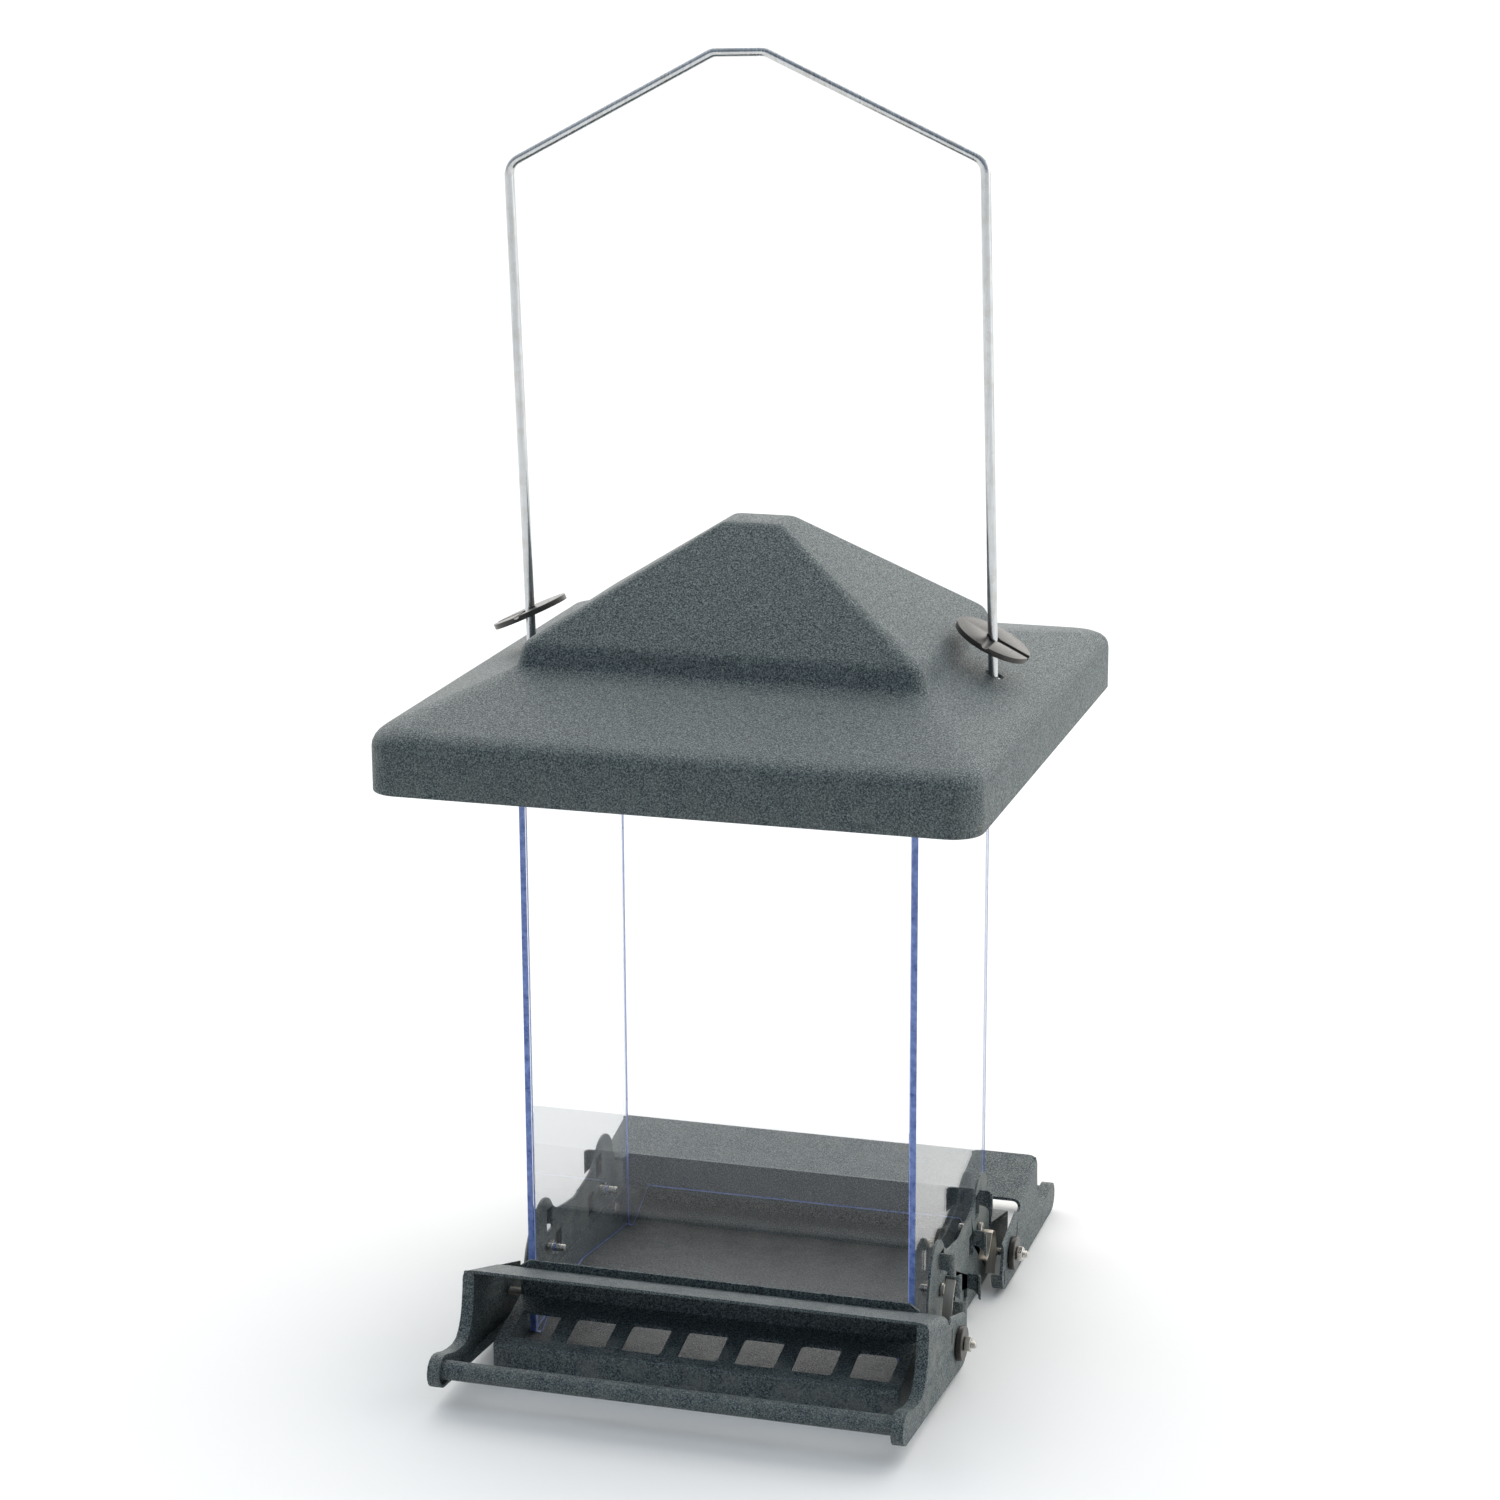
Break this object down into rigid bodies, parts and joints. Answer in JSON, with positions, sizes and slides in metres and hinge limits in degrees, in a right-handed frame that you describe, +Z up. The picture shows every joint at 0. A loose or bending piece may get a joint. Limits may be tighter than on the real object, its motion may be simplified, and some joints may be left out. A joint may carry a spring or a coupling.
{
  "type": "two-sided hopper bird feeder",
  "caption": "Hopper bird feeder with clear walls, stamped hip roof on a wire hanger, and sprung perch frames that close the feeding windows under weight.",
  "frame": {"origin": "middle of the foot of the whole feeder, on the surface it stands on", "axes": "+X to the right along the perch bars, -Y to the front perch, +Z up the hanger"},
  "size_m": [0.294, 0.3384, 0.6394],
  "materials": {
    "powder_coat": "dark green-grey textured powder coat with fine light speckle",
    "clear_sheet": "clear polycarbonate sheet with blue-tinted cut edges",
    "zinc_wire": "bright zinc-plated wire",
    "zinc_hardware": "zinc-plated fasteners",
    "spring_steel": "bright spring strip",
    "black_plastic": "matt black moulding"
  },
  "bodies": {
    "feeder_base": {"base_pan": "powder_coat", "seed_ramp": "powder_coat", "front_window_ledge": "powder_coat", "rear_window_ledge": "powder_coat", "right_side_plate": "powder_coat", "left_side_plate": "powder_coat", "right_clear_panel": "clear_sheet", "left_clear_panel": "clear_sheet", "front_clear_panel": "clear_sheet", "rear_clear_panel": "clear_sheet", "hanger": "zinc_wire", "right_hanger_cap": "black_plastic", "left_hanger_cap": "black_plastic", "front_right_pivot_stud": "zinc_hardware", "front_right_pivot_washer": "black_plastic", "front_right_pivot_nut": "zinc_hardware", "front_right_leaf_spring": "spring_steel", "front_right_panel_screw": "zinc_hardware", "front_right_panel_nut": "zinc_hardware", "front_left_pivot_stud": "zinc_hardware", "front_left_pivot_washer": "black_plastic", "front_left_pivot_nut": "zinc_hardware", "front_left_leaf_spring": "spring_steel", "front_left_panel_screw": "zinc_hardware", "front_left_panel_nut": "zinc_hardware", "rear_right_pivot_stud": "zinc_hardware", "rear_right_pivot_washer": "black_plastic", "rear_right_pivot_nut": "zinc_hardware", "rear_right_leaf_spring": "spring_steel", "rear_right_panel_screw": "zinc_hardware", "rear_right_panel_nut": "zinc_hardware", "rear_left_pivot_stud": "zinc_hardware", "rear_left_pivot_washer": "black_plastic", "rear_left_pivot_nut": "zinc_hardware", "rear_left_leaf_spring": "spring_steel", "rear_left_panel_screw": "zinc_hardware", "rear_left_panel_nut": "zinc_hardware"},
    "roof": {"roof": "powder_coat"},
    "front_perch": {"front_perch_frame": "powder_coat", "front_perch_bar": "powder_coat"},
    "rear_perch": {"rear_perch_frame": "powder_coat", "rear_perch_bar": "powder_coat"},
    "right_lock_disc": {"right_lock_disc": "black_plastic"},
    "left_lock_disc": {"left_lock_disc": "black_plastic"}
  },
  "joints": [
    {"name": "roof_lift", "type": "slide", "parent": "feeder_base", "child": "roof", "axis": [-0.0279, 0, 0.9996], "range_m": [0, 0.15]},
    {"name": "right_disc_slide", "type": "slide", "parent": "roof", "child": "right_lock_disc", "axis": [-0.0279, 0, 0.9996], "range_m": [0, 0.05]},
    {"name": "left_disc_slide", "type": "slide", "parent": "roof", "child": "left_lock_disc", "axis": [-0.0279, 0, 0.9996], "range_m": [0, 0.05]},
    {"name": "front_perch_hinge", "type": "hinge", "parent": "feeder_base", "child": "front_perch", "pos_m": [0, -0.05886, 0.0175], "axis": [1, 0, 0], "range_deg": [0, 27], "stiffness_Nm_per_rad": 0.8, "springref_deg": -20.05},
    {"name": "rear_perch_hinge", "type": "hinge", "parent": "feeder_base", "child": "rear_perch", "pos_m": [0, 0.05914, 0.0175], "axis": [-1, 0, 0], "range_deg": [0, 22], "stiffness_Nm_per_rad": 0.8, "springref_deg": -20.05}
  ]
}
